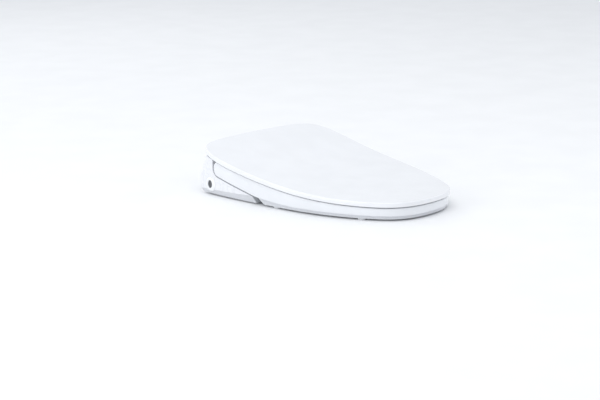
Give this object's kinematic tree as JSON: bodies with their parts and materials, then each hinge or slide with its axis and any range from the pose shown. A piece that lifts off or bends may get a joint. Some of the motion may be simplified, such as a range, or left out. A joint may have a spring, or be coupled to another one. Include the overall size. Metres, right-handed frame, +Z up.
{
  "type": "electric bidet seat",
  "caption": "Electric bidet toilet seat with a sloping lid, a heated seat ring and a washing unit that slides onto a bolted base plate.",
  "frame": {"origin": "midway between the two mounting bolts, on the plane of the toilet's deck and rim", "axes": "+Z up, +X to the right as seen from the front, the front of the seat points to -Y"},
  "size_m": [0.3858, 0.532, 0.1812],
  "materials": {
    "lid_white": "gloss",
    "shell_white": "gloss",
    "seat_white": "gloss",
    "hinge_white": "satin",
    "button_grey": "satin",
    "rubber_pale": "matte",
    "rubber_dark": "matte",
    "steel": "brushed",
    "inner_grey": "matte",
    "wand_white": "gloss",
    "gear_white": "matte",
    "inlet_brass": "turned",
    "heater_alloy": "satin",
    "board_green": "matte"
  },
  "bodies": {
    "base": {"base_plate": "inner_grey", "base_rubber_sheet": "rubber_dark", "bolt_clamps": "inner_grey", "mounting_bolts": "steel", "rubber_washers": "rubber_dark", "wing_nuts": "hinge_white"},
    "unit": {"lower_case": "shell_white", "upper_cover": "shell_white", "left_wing": "shell_white", "right_wing": "shell_white", "rear_panel": "shell_white", "panel_screws": "steel", "button_boss": "shell_white", "side_switch": "inner_grey", "seat_dampers": "inner_grey", "lid_dampers": "inner_grey", "wand_guide": "inner_grey", "wand_motors": "steel", "water_heater": "inner_grey", "solenoid_valve": "inner_grey", "water_pump": "inner_grey", "inlet_manifold": "inlet_brass", "cold_water_tube": "rubber_dark", "warm_water_tube": "rubber_dark", "fan_housing": "inner_grey", "fan_motor": "steel", "dryer_heater": "heater_alloy", "dryer_duct": "inner_grey", "control_board": "board_green", "power_supply": "inner_grey", "cord_gland": "hinge_white", "case_feet": "rubber_pale"},
    "seat": {"seat_shell": "seat_white", "seat_base_plate": "seat_white", "seat_heater_foil": "heater_alloy", "seat_bumpers": "rubber_pale", "seat_screws": "steel", "seat_hinge_pins": "steel"},
    "lid_carrier": {"lid_hinge_shafts": "steel"},
    "lid": {"lid_shell": "lid_white", "lid_hinge_arms": "hinge_white", "lid_bumpers": "rubber_pale"},
    "rear_wand": {"rear_wand": "wand_white", "rear_wand_tip": "wand_white"},
    "front_wand": {"front_wand": "wand_white", "front_wand_tip": "wand_white"},
    "rear_pinion": {"rear_wand_pinion": "gear_white"},
    "front_pinion": {"front_wand_pinion": "gear_white"},
    "impeller": {"fan_impeller": "inner_grey"},
    "flap": {"dryer_flap": "inner_grey"},
    "button": {"side_button": "button_grey"},
    "filter": {"filter_plug": "hinge_white"}
  },
  "joints": [
    {"name": "unit_slide", "type": "slide", "parent": "base", "child": "unit", "axis": [0, -1, 0], "range_m": [0, 0.07]},
    {"name": "seat_hinge", "type": "hinge", "parent": "unit", "child": "seat", "pos_m": [0, -0.02, 0.062], "axis": [1, 0, 0], "range_deg": [-98, 0]},
    {"name": "lid_carrier_hinge", "type": "hinge", "parent": "unit", "child": "lid_carrier", "pos_m": [0, 0.028, 0.08], "axis": [1, 0, 0], "range_deg": [-98, 0]},
    {"name": "lid_hinge", "type": "hinge", "parent": "lid_carrier", "child": "lid", "pos_m": [0, 0.028, 0.08], "axis": [-1, 0, 0], "range_deg": [0, 100]},
    {"name": "rear_wand_slide", "type": "slide", "parent": "unit", "child": "rear_wand", "axis": [0, -0.9724, -0.2334], "range_m": [0, 0.06]},
    {"name": "rear_pinion_spin", "type": "hinge", "parent": "unit", "child": "rear_pinion", "pos_m": [-0.013, -0.03776, 0.03979], "axis": [-1, 0, 0], "range_deg": [0, 576]},
    {"name": "front_wand_slide", "type": "slide", "parent": "unit", "child": "front_wand", "axis": [0, -0.9724, -0.2334], "range_m": [0, 0.06]},
    {"name": "front_pinion_spin", "type": "hinge", "parent": "unit", "child": "front_pinion", "pos_m": [0.013, -0.03776, 0.03979], "axis": [-1, 0, 0], "range_deg": [0, 576]},
    {"name": "fan_spin", "type": "hinge", "parent": "unit", "child": "impeller", "pos_m": [0.062, -0.014, 0.03], "axis": [0, 0, 1], "continuous": true},
    {"name": "flap_hinge", "type": "hinge", "parent": "unit", "child": "flap", "pos_m": [0.057, -0.11949, 0.01441], "axis": [-1, 0, 0], "range_deg": [0, 55], "stiffness_Nm_per_rad": 0.0002, "springref_deg": -17.19},
    {"name": "button_press", "type": "slide", "parent": "unit", "child": "button", "axis": [1, 0, 0], "range_m": [0, 0.002], "stiffness_N_per_m": 800, "springref_m": -0.001},
    {"name": "filter_turn", "type": "hinge", "parent": "unit", "child": "filter", "pos_m": [0.096, 0.03, 0.024], "axis": [0, 1, 0], "range_deg": [-90, 0]}
  ],
  "couplings": [
    {"joint": "lid_carrier_hinge", "follows": "seat_hinge", "ratio": 1},
    {"joint": "rear_pinion_spin", "follows": "rear_wand_slide", "rad_per_m": 166.67},
    {"joint": "front_pinion_spin", "follows": "front_wand_slide", "rad_per_m": 166.67}
  ]
}
